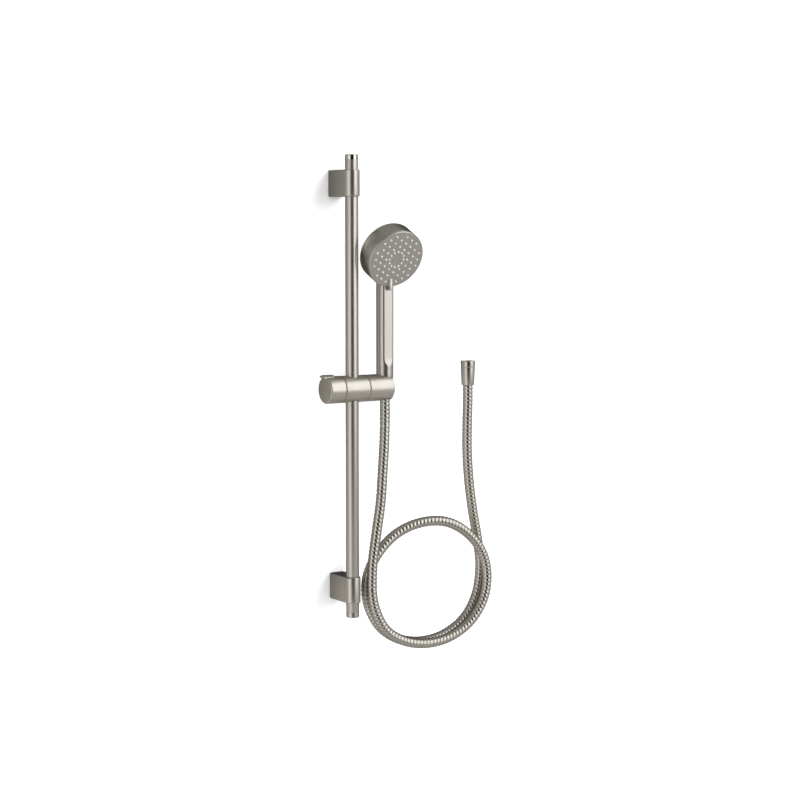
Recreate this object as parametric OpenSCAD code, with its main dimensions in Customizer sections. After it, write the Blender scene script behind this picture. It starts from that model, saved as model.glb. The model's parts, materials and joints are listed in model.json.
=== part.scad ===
// Handheld shower head on its slide bar, with the clamping slider, the holder and a coiled metal hose.
// Z is up. The wall is the plane y = 0 and the room is towards -y.
// The origin is the middle of the lower bracket's wall face.

/* [Slide bar] */
// Outside diameter of the bar
bar_d = 19.5; // [18:0.5:20]
// Wall thickness of the bar's tube
bar_wall = 1.2; // [1:0.1:2]
// Distance between the centres of the two brackets
bracket_spacing = 610; // [560:10:660]
// How far the bar runs past the centre of each bracket
bar_overrun = 42; // [35:0.5:60]
// Height of the polished cap on each end of the bar
cap_h = 8; // [5:0.5:12]

/* [Brackets] */
// Distance from the wall to the axis of the bar
stand_off = 47; // [46:1:60]
// Width of a bracket, which is also the diameter of its collar
bracket_w = 24; // [24:0.5:28]
// Height of a bracket
bracket_h = 39.5; // [38:0.5:50]

/* [Slider and holder] */
// Height of the slider's axis above the lower bracket's centre
slider_z = 304.5; // [290:0.5:320]
// Diameter of the knob, the slider and the holder
slider_d = 40.5; // [38:0.5:42]
// Length of the slider's middle piece
glide_l = 41.5; // [38:0.5:46]
// Length of the locking knob
knob_l = 26; // [25:0.5:32]
// Distance from the bar's axis to the handset's axis
arm_x = 58; // [56:1:62]
// How far the holder reaches past the handset's axis
holder_lip = 6; // [4:0.5:8]
// Width of the slot that lets the hose out of the holder
hose_slot_w = 16.4; // [16:0.1:17]

/* [Handset] */
// Diameter of the handle
handle_d = 26; // [25:0.1:26.4]
// Diameter of the spray head
head_d = 92; // [86:1:100]
// Thickness of the spray head
head_t = 32; // [28:1:34]
// How far the spray face looks down
face_tilt = 26; // [20:1:32]
// How far the middle of the face stands in front of the handle's axis
face_front = 32.5; // [30:0.5:36]
// Height of the middle of the face above the slider's axis
face_up = 192.5; // [185:0.5:205]
// Distance between neighbouring nozzles
nozzle_pitch = 10.5; // [9.5:0.25:11.5]
// Number of nozzles in the middle ring
ring_nozzles = 12; // [8:1:12]
// Radius of the middle ring
ring_r = 12.3; // [11:0.1:13]

/* [Hose] */
// Outside diameter of the hose
hose_d = 15.5; // [14:0.5:15.5]
// Length of the wall-end nut
supply_nut_l = 38; // [35:1:40]
// Minor radius of the half-inch pipe thread in each nut
thread_r = 9.32; // [9.3:0.01:9.4]

/* [Hidden] */

$fn = 96;

nickel = [0.72, 0.70, 0.66];
polished = [0.82, 0.81, 0.78];
face_grey = [0.60, 0.58, 0.55];
brass = [0.78, 0.62, 0.32];
nylon = [0.18, 0.18, 0.18];
rubber = [0.12, 0.12, 0.12];
silicone = [0.86, 0.86, 0.84];
zinc = [0.62, 0.63, 0.64];

// clearances: a shaft in its hole, two faces that move past each other, two fixed pieces
run_gap = 0.05;
move_gap = 0.3;
seat_gap = 0.05;

bar_r = bar_d / 2;
bar_y = -stand_off;
bar_bottom = -bar_overrun;
bar_top = bracket_spacing + bar_overrun;
bore_r = bar_r - bar_wall;

// bracket
bracket_r = bracket_w / 2;
edge_r = 0.9;
liner_wall = 1;
liner_r = bar_r + run_gap + liner_wall;
anchor_w = 16.4;
anchor_h = 32;
anchor_t = 16;
pocket_gap = 0.3;
pocket_t = 33;
screw_spacing = 18;
screw_hole_r = 2.25;
grub_r = 1.95;
grub_y = -8;

// slider: x positions along its axis
slider_r = slider_d / 2;
sleeve_r = bar_r + 2;
glide_x = glide_l / 2;
seam = 0.5;
knob_x0 = -glide_x - seam - knob_l;
knob_x1 = -glide_x - seam;
holder_x0 = glide_x + seam;
holder_x1 = arm_x + holder_lip;
washer_r = 15;
washer_depth = 1.2;
stud_r = 4;
shoe_r = 6.3;
bolt_r = 3;
bolt_head_r = 5.2;
bolt_seat_x = 37.7;

// handset and its nut, heights above the slider's axis
handle_r = handle_d / 2;
cradle_z = 13.5;
handle_z0 = slider_z + cradle_z + 0.5;
nut_mouth_z = slider_z + cradle_z;
handset_nut_l = 31;
nut_foot_z = nut_mouth_z - handset_nut_l;
nut_band_l = 10.5;
nut_top_r = 11.4;
nut_band_r = 10.95;
nut_cone_r = 10.4;
nut_foot_r = 9.4;
thread_l = 8;
relief_r = 9.65;
nut_web_z = 13;
nut_web_t = 3;
flat_front = 10.45;
flat_bottom = slider_z + 44;
run_out_r = 20;
tube_r = 5;
tube_back = 3.5;
tube_z0 = handle_z0 + 12;
tube_z1 = slider_z + face_up - 32.5;

// spray head, depths behind the face
head_r = head_d / 2;
face_y = bar_y - face_front;
face_z = slider_z + face_up;
rim_t = 3.5;
rim_round = 2.6;
shell_front = rim_t + 0.35;
shell_wall = 2.8;
plate_t = 2.4;
skirt_r = head_r - shell_wall - 0.4;
skirt_wall = 1.6;
mat_r = skirt_r - skirt_wall - 0.2;
nozzle_hole_r = 1.75;
nozzle_r = 1.55;
nozzle_tip_r = 1.2;
nozzle_jet_r = 0.55;
nozzle_proud = 1.3;
nozzle_reach = 38.5;

// wall end of the hose
supply_x = 211.4;
supply_foot_z = 300.5;
supply_mouth_z = supply_foot_z + supply_nut_l;

// The hose's centreline: sideways, in front of the bar's axis, height. It leaves the handset's nut, turns
// one and a half times round a loop and rises to the wall-end nut.
hose_route = [
    [arm_x, 0, nut_foot_z], [arm_x, 0, 258], [55, 3, 219], [50, 6, 175], [45, 8, 129], [37, 8, 80],
    [30, 8, 28], [32, 8, -22], [52, 8, -64], [85, 8, -87], [127, 8, -97], [171, 8, -93], [210, 8, -74],
    [236, 8, -42], [244, 8, -3], [234, 8, 36], [206, 7, 69], [169, 3, 89], [127, -3, 91], [87, -8, 78],
    [54, -8, 53], [32, -8, 18], [31, -8, -22], [51, -8, -62], [85, -8, -87], [127, -8, -97],
    [171, -8, -92], [210, -8, -71], [234, -8, -36], [242, -8, 8], [237, -8, 52], [227, -7, 98],
    [218, -5, 147], [212, -2, 196], [210.5, 0, 241], [supply_x, 0, 272], [supply_x, 0, supply_foot_z]
];
hose_sides = 10;

// ---------------------------------------------------------------- shared functions and shapes

// points of an arc about c, from angle a0 to a1
function arc(c, r, a0, a1, n = 5) =
    [for (i = [0:n]) let (a = a0 + (a1 - a0) * i / n) [c[0] + r * cos(a), c[1] + r * sin(a)]];

// half section of a round bar from z0 to z1, with rounded edges at both ends
function round_bar(r, z0, z1, f0, f1) = concat(
    [[0, z0]],
    arc([r - f0, z0 + f0], f0, -90, 0),
    arc([r - f1, z1 - f1], f1, 0, 90),
    [[0, z1]]
);

// the corners of a rectangle with rounded corners, centred
function round_rect(w, h, f) = concat(
    arc([w / 2 - f, h / 2 - f], f, 0, 90),
    arc([f - w / 2, h / 2 - f], f, 90, 180),
    arc([f - w / 2, f - h / 2], f, 180, 270),
    arc([w / 2 - f, f - h / 2], f, 270, 360)
);

module turned(section) rotate_extrude() polygon(section);

module ring(r_out, r_in, h) {
    difference() {
        cylinder(r = r_out, h = h);
        translate([0, 0, -1]) cylinder(r = r_in, h = h + 2);
    }
}

// local z runs along the slider's axis, towards the handset
module on_slider(x) translate([x, bar_y, slider_z]) rotate([0, 90, 0]) children();

// local z runs up the handset's axis, from height z
module on_handset(z) translate([arm_x, bar_y, z]) children();

// local z points out of the spray face and local y up its slope; z = 0 is the face
module on_face(z)
    translate([arm_x, face_y, face_z]) rotate([90 + face_tilt, 0, 0]) translate([0, 0, z]) children();

// ---------------------------------------------------------------- bar and brackets

module slide_bar() color(nickel)
    translate([0, bar_y, bar_bottom + cap_h]) ring(bar_r, bore_r, bar_top - bar_bottom - 2 * cap_h);

// polished cap with a barbed plug that grips the inside of the bar
module bar_cap() {
    plug_r = bore_r - seat_gap;
    turned(concat(
        [[0, -12], [plug_r - 1, -12]],
        [for (i = [0:2]) each [[plug_r, -10.5 + 3.5 * i], [plug_r - 0.5, -8 + 3.5 * i]]],
        [[plug_r - 0.5, 0], [bar_r, 0]],
        arc([bar_r - 1.2, cap_h - 1.2], 1.2, 0, 90),
        [[0, cap_h]]
    ));
}

module top_cap() color(polished) translate([0, bar_y, bar_top - cap_h]) bar_cap();

module bottom_cap() color(polished) translate([0, bar_y, bar_bottom + cap_h]) mirror([0, 0, 1]) bar_cap();

// a block from the wall that ends in a collar round the bar
module bracket(z) {
    color(nickel) difference() {
        union() {
            translate([0, 0, z]) rotate([90, 0, 0])
                linear_extrude(stand_off) polygon(round_rect(bracket_w, bracket_h, edge_r));
            translate([0, bar_y, z]) turned(round_bar(bracket_r, -bracket_h / 2, bracket_h / 2, edge_r, edge_r));
        }
        translate([0, bar_y, z - bracket_h]) cylinder(r = liner_r + seat_gap, h = 2 * bracket_h);
        translate([-anchor_w / 2 - pocket_gap, -pocket_t, z - anchor_h / 2 - pocket_gap])
            cube([anchor_w + 2 * pocket_gap, pocket_t + 1, anchor_h + 2 * pocket_gap]);
        translate([0, grub_y, z - bracket_h]) cylinder(r = grub_r + seat_gap, h = bracket_h, $fn = 32);
    }
}

module upper_bracket() bracket(bracket_spacing);

module lower_bracket() bracket(0);

// split nylon liner between a bracket and the bar, set back from the collar's ends
module bracket_liner(z) {
    liner_h = bracket_h - 1.6;
    color(nylon) translate([0, bar_y, z - liner_h / 2]) difference() {
        ring(liner_r, bar_r + run_gap, liner_h);
        translate([-1, 0, -1]) cube([2, liner_r + 1, liner_h + 2]);
    }
}

module upper_liner() bracket_liner(bracket_spacing);

module lower_liner() bracket_liner(0);

// cast block that two wall screws hold, with the bracket pushed over it
module wall_anchor(z) {
    floor_t = 4;
    color(zinc) difference() {
        translate([0, 0, z]) rotate([90, 0, 0])
            linear_extrude(anchor_t) polygon(round_rect(anchor_w, anchor_h, 1.5));
        for (s = [-1, 1]) translate([0, 1, z + s * screw_spacing / 2]) rotate([90, 0, 0]) {
            cylinder(r = screw_hole_r, h = anchor_t + 2, $fn = 48);
            translate([0, 0, floor_t + 1]) cylinder(r = 4.6, h = anchor_t, $fn = 48);
        }
        translate([0, grub_y, z - anchor_h / 2 - 1]) cylinder(r = grub_r + 0.2, h = 2.5, $fn = 32);
    }
}

module upper_anchor() wall_anchor(bracket_spacing);

module lower_anchor() wall_anchor(0);

// socket set screws up through the underside of each bracket
module grub_screws() {
    color(zinc) for (z = [0, bracket_spacing]) translate([0, grub_y, z - bracket_h / 2 + 0.4]) difference() {
        turned([[0, 0], [grub_r, 0], [grub_r, 3.6], [grub_r - 1.2, 4.7], [0, 4.7]]);
        translate([0, 0, -1]) cylinder(r = 1.15, h = 2.8, $fn = 6);
    }
}

// ---------------------------------------------------------------- slider

// split nylon sleeve that slides on the bar, its ends cut to the slider's round outline
module glide_sleeve() {
    color(nylon) difference() {
        intersection() {
            translate([0, bar_y, slider_z - slider_r]) cylinder(r = sleeve_r, h = slider_d);
            on_slider(-glide_x) cylinder(r = slider_r - 0.4, h = glide_l);
        }
        translate([0, bar_y, slider_z - slider_d]) cylinder(r = bar_r + run_gap, h = 2 * slider_d);
        translate([-1, bar_y, slider_z - slider_d]) cube([2, sleeve_r + 1, 2 * slider_d]);
    }
}

// middle piece of the slider, bored for the sleeve, the clamp and the tilt bolt
module glide_body() {
    color(nickel) difference() {
        on_slider(0) turned(round_bar(slider_r, -glide_x, glide_x, 0.8, 0.8));
        translate([0, bar_y, slider_z - slider_d]) cylinder(r = sleeve_r + run_gap, h = 2 * slider_d);
        on_slider(-glide_x - 1) cylinder(r = stud_r + run_gap, h = glide_x);
        on_slider(-17) cylinder(r = shoe_r + 0.1, h = 8);
        on_slider(-glide_x - 1) cylinder(r = washer_r + 0.1, h = washer_depth + 1);
        on_slider(glide_x - washer_depth) cylinder(r = washer_r + 0.1, h = washer_depth + 1);
        on_slider(13) cylinder(r = bolt_r + run_gap, h = glide_x);
    }
}

// pad that the stud presses on the sleeve, hollowed to the sleeve's curve
module clamp_shoe() {
    color(brass) difference() {
        on_slider(-14.2) cylinder(r = shoe_r, h = 5.2);
        translate([0, bar_y, slider_z - slider_d]) cylinder(r = sleeve_r + move_gap, h = 2 * slider_d);
    }
}

module end_washer(x, hole_r) color(nylon) on_slider(x) ring(washer_r, hole_r, washer_depth + 0.2);

module knob_washer() end_washer(-glide_x - 0.2, stud_r + move_gap);

module tilt_washer() end_washer(glide_x - washer_depth, bolt_r + move_gap);

// shoulder bolt that the holder tilts about
module tilt_bolt() {
    head_x = bolt_seat_x + 1.6;
    color(zinc) on_slider(0) difference() {
        turned([
            [0, 13.5], [bolt_r - 0.6, 13.5], [bolt_r, 14.1], [bolt_r, head_x],
            [bolt_head_r, head_x], [bolt_head_r, head_x + 4.4], [bolt_head_r - 0.6, head_x + 5], [0, head_x + 5]
        ]);
        translate([0, 0, head_x + 2]) cylinder(r = 2.9, h = 4, $fn = 6);
    }
}

module spring_washer() color(zinc) on_slider(bolt_seat_x + move_gap) ring(bolt_head_r + 0.5, bolt_r + 0.2, 1.2);

// ---------------------------------------------------------------- locking knob

// moulded cup with a ribbed hub and a thumb paddle along its top
module lock_knob() {
    wall = 2.8;
    hub_r = 8.5;
    depth = knob_l - 4;
    color(nickel) difference() {
        union() {
            on_slider(0) turned(round_bar(slider_r, knob_x0, knob_x1, 3, 0.8));
            knob_paddle();
        }
        on_slider(knob_x1 - depth) difference() {
            cylinder(r = slider_r - wall, h = depth + 1);
            translate([0, 0, -1]) cylinder(r = hub_r, h = depth);
            for (a = [0:60:300]) rotate(a) translate([0, -0.8, -1]) cube([slider_r, 1.6, depth - 3]);
        }
        on_slider(knob_x1 - depth) cylinder(r = 6 + seat_gap, h = depth + 1);
    }
}

// thin blade that overhangs the knob's end
module knob_paddle() {
    paddle_l = 19;
    paddle_w = 13;
    overhang = 6.4;
    sunk = 1.6;
    translate([knob_x0 - overhang + paddle_l / 2, bar_y, slider_z + slider_r - sunk])
        linear_extrude(sunk + 2.6) polygon(round_rect(paddle_l, paddle_w, 2.5));
}

module knob_insert() color(brass) on_slider(knob_x1 - knob_l + 4.2) ring(6, stud_r + seat_gap, knob_l - 6);

module clamp_stud() {
    color(zinc) on_slider(0)
        turned([[0, knob_x0 + 6], [stud_r, knob_x0 + 6], [stud_r, -15.3], [stud_r - 0.8, -14.5], [0, -14.5]]);
}

// ---------------------------------------------------------------- holder

// round arm with a cradle that wraps two thirds of the handle, open at its end
module holder_body() {
    color(nickel) difference() {
        on_slider(0) turned(round_bar(slider_r, holder_x0, holder_x1, 0.8, 1.2));
        on_handset(slider_z - slider_d) cylinder(r = handle_r + move_gap, h = 2 * slider_d);
        on_slider(holder_x0 - 1) cylinder(r = bolt_r + 0.1, h = 20);
        on_slider(bolt_seat_x) cylinder(r = bolt_head_r + 1, h = arm_x - bolt_seat_x - 8);
    }
}

// nylon seat for the nut's cone, with the slot that the hose slips out through
module holder_liner() {
    seat_r = handle_r + move_gap - seat_gap;
    color(nylon) difference() {
        intersection() {
            on_handset(slider_z - slider_r) cylinder(r = seat_r, h = slider_r + cradle_z - 0.2);
            on_slider(holder_x0) cylinder(r = slider_r, h = holder_x1 - holder_x0 - 0.6);
        }
        on_handset(nut_foot_z - 10) cylinder(r = nut_foot_r + move_gap, h = 12);
        on_handset(nut_foot_z) cylinder(
            r1 = nut_foot_r + move_gap, r2 = nut_cone_r + move_gap, h = handset_nut_l - nut_band_l);
        on_handset(nut_mouth_z - nut_band_l - move_gap) cylinder(r = nut_top_r + move_gap, h = 20);
        translate([arm_x, bar_y - hose_slot_w / 2, slider_z - slider_d])
            cube([slider_r, hose_slot_w, 2 * slider_d]);
    }
}

// ---------------------------------------------------------------- hose

// conical hose nut with its foot at z = 0: a plain band at the mouth, then the taper
module hose_nut(l) {
    web_z = l - nut_web_z - nut_web_t;
    difference() {
        turned(concat(
            [[0, 0]],
            arc([nut_foot_r - 1, 1], 1, -90, 0, 3),
            [
                [nut_cone_r, l - nut_band_l], [nut_band_r, l - nut_band_l + 0.2],
                [nut_top_r, l - 0.6], [nut_top_r - 0.6, l], [0, l]
            ]
        ));
        translate([0, 0, l - thread_l]) cylinder(r = thread_r, h = thread_l + 1);
        translate([0, 0, l - nut_web_z]) cylinder(r = relief_r, h = nut_web_z - thread_l);
        translate([0, 0, web_z - 1]) cylinder(r = 6.5, h = nut_web_t + 2);
        translate([0, 0, -1]) cylinder(r = 7.9, h = web_z + 1);
    }
}

// flanged tail that the nut turns on, with the sleeve crimped over the hose's end
module hose_tail(l) {
    web_z = l - nut_web_z - nut_web_t;
    flange_z = l - nut_web_z + move_gap;
    difference() {
        turned([
            [0, 0], [7.5, 0], [7.5, web_z - move_gap], [6.2, web_z - move_gap], [6.2, flange_z],
            [relief_r - move_gap, flange_z], [relief_r - move_gap, flange_z + 1.9], [0, flange_z + 1.9]
        ]);
        translate([0, 0, 4]) cylinder(r = 4.2, h = l);
    }
}

// rubber washer on top of the tail's flange
module hose_washer(l) translate([0, 0, l - nut_web_z + move_gap + 1.9]) ring(relief_r - move_gap, 5.5, 2.8);

module supply_nut() color(nickel) translate([supply_x, bar_y, supply_foot_z]) hose_nut(supply_nut_l);

module supply_tail() color(brass) translate([supply_x, bar_y, supply_foot_z]) hose_tail(supply_nut_l);

module supply_washer() color(rubber) translate([supply_x, bar_y, supply_foot_z]) hose_washer(supply_nut_l);

module handset_nut() color(nickel) on_handset(nut_foot_z) hose_nut(handset_nut_l);

module handset_tail() color(brass) on_handset(nut_foot_z) hose_tail(handset_nut_l);

module handset_washer() color(rubber) on_handset(nut_foot_z) hose_washer(handset_nut_l);

// the route in the model's axes, with a point on the smooth curve between each two
function route_at(i) = let (p = hose_route[max(0, min(len(hose_route) - 1, i))]) [p[0], bar_y - p[1], p[2]];
function halfway(i) = (9 * (route_at(i) + route_at(i + 1)) - route_at(i - 1) - route_at(i + 2)) / 16;
hose_line = concat(
    [for (i = [0:len(hose_route) - 2]) each [route_at(i), halfway(i)]],
    [route_at(len(hose_route) - 1)]
);

function unit(v) = v / norm(v);

// ring i stands square to the hose; its sides start from the direction that faces the room
function hose_ring(i) =
    let (
        last = len(hose_line) - 1,
        along = i == 0 || i == last ? [0, 0, i == 0 ? -1 : 1] : unit(hose_line[i + 1] - hose_line[i - 1]),
        side = unit(cross(along, [0, 1, 0])),
        front = cross(side, along)
    )
    [for (k = [0:hose_sides - 1]) let (a = 360 * k / hose_sides)
        hose_line[i] + hose_d / 2 * (cos(a) * front + sin(a) * side)];

module hose_casing() {
    rings = len(hose_line);
    color(polished) polyhedron(
        points = [for (i = [0:rings - 1]) each hose_ring(i)],
        faces = concat(
            [[for (k = [0:hose_sides - 1]) k]],
            [for (i = [0:rings - 2], k = [0:hose_sides - 1]) let (a = i * hose_sides, n = (k + 1) % hose_sides)
                [a + k, a + hose_sides + k, a + hose_sides + n, a + n]],
            [[for (k = [hose_sides - 1:-1:0]) (rings - 1) * hose_sides + k]]
        )
    );
}

// ---------------------------------------------------------------- handset

// brass thread below the handle, with the plate that closes the handle's foot above it
module inlet_nipple() {
    thread_z = nut_mouth_z - thread_l + 0.5;
    color(brass) difference() {
        union() {
            on_handset(thread_z) cylinder(r = thread_r - run_gap, h = handle_z0 - thread_z);
            on_handset(handle_z0) cylinder(r = handle_r - 2.6 - seat_gap, h = 15);
        }
        on_handset(thread_z - 1) cylinder(r = 5.4, h = handle_z0 + 9 - thread_z);
        on_handset(tube_z0 - 5) translate([0, tube_back, 0]) cylinder(r = tube_r + seat_gap, h = 20);
    }
}

module flow_regulator() {
    color(rubber) on_handset(handle_z0) difference() {
        cylinder(r = 5.3, h = 3.5);
        for (a = [0:60:300]) rotate(a) translate([3, 0, -1]) cylinder(r = 0.8, h = 6, $fn = 16);
    }
}

module waterway_tube()
    color(nylon) on_handset(tube_z0) translate([0, tube_back, 0]) ring(tube_r, tube_r - 1.2, tube_z1 - tube_z0);

// handle and drum in one moulding: the drum is a cup, and the handle's front has a flat that runs out at its foot
module handset_shell() {
    depth = head_t - shell_wall;
    color(nickel) difference() {
        union() {
            difference() {
                on_handset(handle_z0) turned(round_bar(handle_r, 0, tube_z1 + 10 - handle_z0, 0.6, 0.6));
                handle_flat();
                on_face(-shell_front) cylinder(r = head_r + 0.4, h = 40);
            }
            on_face(0) turned(round_bar(head_r, -head_t, -shell_front, 4, 0.4));
        }
        on_face(-depth) cylinder(r = head_r - shell_wall, h = head_t);
        on_handset(handle_z0 - 1) cylinder(r = handle_r - 2.6, h = tube_z1 - 9 - handle_z0);
        on_handset(tube_z0) translate([0, tube_back, 0])
            cylinder(r = tube_r + seat_gap, h = tube_z1 + 8 - tube_z0);
    }
}

// everything in front of the flat, and the hollow sweep that ends it
module handle_flat() {
    sweep_z = sqrt(pow(run_out_r, 2) - pow(run_out_r - 3, 2));
    translate([arm_x - handle_d, bar_y - flat_front - 10, flat_bottom]) cube([2 * handle_d, 10, 200]);
    translate([arm_x - handle_d, bar_y - flat_front - run_out_r, flat_bottom]) rotate([0, 90, 0])
        intersection() {
            cylinder(r = run_out_r, h = 2 * handle_d);
            translate([0, run_out_r - 3, 0]) cube([sweep_z, 4, 2 * handle_d]);
        }
}

// fixed plate behind the diverter, with three ports
module port_plate() {
    color(nylon) on_face(-11.8) difference() {
        union() {
            cylinder(r = head_r - shell_wall - seat_gap, h = 2.4);
            translate([0, 0, shell_wall + 11.8 - head_t]) cylinder(r = 6, h = head_t - shell_wall - 11.8);
        }
        for (a = [90, 210, 330]) rotate(a) translate([24, 0, -1]) {
            cylinder(r = 2.6, h = 6, $fn = 32);
            translate([0, 0, 1.8]) cylinder(r = 4.1, h = 4, $fn = 48);
        }
        translate([0, 0, -10]) cylinder(r = 1.95, h = 20, $fn = 32);
    }
}

module port_seals() {
    color(rubber) on_face(-11) for (a = [90, 210, 330]) rotate(a) translate([24, 0, 0]) ring(4, 2.6, 1.9, $fn = 48);
}

module pivot_screw() {
    color(zinc) on_face(0) difference() {
        turned([[0, -20], [1.9, -20], [1.9, -7], [4, -7], [4, -5.6], [3, -4.8], [0, -4.8]]);
        for (a = [0, 90]) rotate(a) translate([-0.4, -2, -6.2]) cube([0.8, 4, 3]);
    }
}

// ---------------------------------------------------------------- turning spray face

// nozzle centres: a middle ring, then a triangular grid out to the rim, less the one under the thumb tab
nozzle_spots = concat(
    [for (i = [0:ring_nozzles - 1]) ring_r * [cos(360 * i / ring_nozzles), sin(360 * i / ring_nozzles)]],
    [for (i = [-4:4], j = [-8:8]) let (p = nozzle_pitch * [i * sqrt(3) / 2, j / 2])
        if ((i + j) % 2 == 0 && norm(p) > 1.5 * nozzle_pitch && norm(p) < nozzle_reach
            && norm(p - [0, -3 * nozzle_pitch]) > 1) p]
);

// face plate with a rounded rim, a skirt that runs inside the drum, and the thumb tab
module spray_face() {
    color(face_grey) on_face(0) difference() {
        union() {
            turned(concat(
                [[0, -plate_t], [skirt_r - skirt_wall, -plate_t], [skirt_r - skirt_wall, -9], [skirt_r, -9]],
                [[skirt_r, -rim_t], [head_r, -rim_t]],
                arc([head_r - rim_round, -rim_round], rim_round, 0, 90),
                [[0, 0]]
            ));
            thumb_tab();
        }
        for (p = nozzle_spots) translate([p[0], p[1], -plate_t - 1])
            cylinder(r = nozzle_hole_r, h = plate_t + 2, $fn = 20);
    }
}

// face coordinates of the point this far in front of the handle's axis and above the slider's axis
function on_slope(front, up) = let (f = front - face_front, u = up - face_up)
    [f * sin(face_tilt) + u * cos(face_tilt), f * cos(face_tilt) - u * sin(face_tilt)];

// upright fin at the foot of the face, cut square to the handle, whose flat it clears
module thumb_tab() {
    tab_w = 3.8;
    corner = 1.2;
    back = flat_front + 0.4;
    front = back + 7.6;
    rim_foot = face_up - head_r * cos(face_tilt);
    foot = rim_foot - 4.6;
    translate([-tab_w / 2, 0, 0]) rotate([90, 0, 90]) linear_extrude(tab_w) polygon(concat(
        [[-28.5, 0], [-30, -1], [1 - head_r, -2.4], on_slope(back, rim_foot + 0.9)],
        arc(on_slope(back + corner, foot + corner), corner, 270 - face_tilt, 180 - face_tilt, 3),
        arc(on_slope(front - corner, foot + corner), corner, 180 - face_tilt, 90 - face_tilt, 3)
    ));
}

// silicone mat behind the face, with a soft nozzle through each hole
module nozzle_mat() {
    color(silicone) on_face(0) difference() {
        union() {
            translate([0, 0, -plate_t - 1.8]) cylinder(r = mat_r, h = 1.75);
            for (p = nozzle_spots) translate([p[0], p[1], -plate_t - 1])
                cylinder(r1 = nozzle_r, r2 = nozzle_tip_r, h = plate_t + 1 + nozzle_proud, $fn = 20);
        }
        for (p = nozzle_spots) translate([p[0], p[1], -plate_t - 3])
            cylinder(r = nozzle_jet_r, h = plate_t + 6, $fn = 14);
    }
}

// disc that opens one set of ports after another as the face turns
module diverter_disc() {
    color(nylon) on_face(-8.8) difference() {
        cylinder(r = mat_r, h = 1.6);
        for (a = [78, 90, 102, 198, 210, 222, 318, 330, 342]) rotate(a) translate([24, 0, -1])
            cylinder(r = 2, h = 4, $fn = 24);
        translate([0, 0, -1]) cylinder(r = 2, h = 4, $fn = 32);
    }
}

slide_bar();
top_cap();
bottom_cap();
upper_bracket();
lower_bracket();
upper_liner();
lower_liner();
upper_anchor();
lower_anchor();
grub_screws();
hose_casing();
supply_tail();
supply_washer();
supply_nut();
glide_sleeve();
glide_body();
clamp_shoe();
knob_washer();
tilt_washer();
tilt_bolt();
spring_washer();
lock_knob();
knob_insert();
clamp_stud();
holder_body();
holder_liner();
handset_tail();
handset_washer();
handset_nut();
inlet_nipple();
flow_regulator();
waterway_tube();
handset_shell();
port_plate();
port_seals();
pivot_screw();
spray_face();
nozzle_mat();
diverter_disc();
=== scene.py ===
# Handheld shower head on its slide bar. Metres; Z is up, the wall is y = 0 and the room is towards -y.
import json
from math import atan2, cos, pi, radians, sin, sqrt, tan

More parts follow.
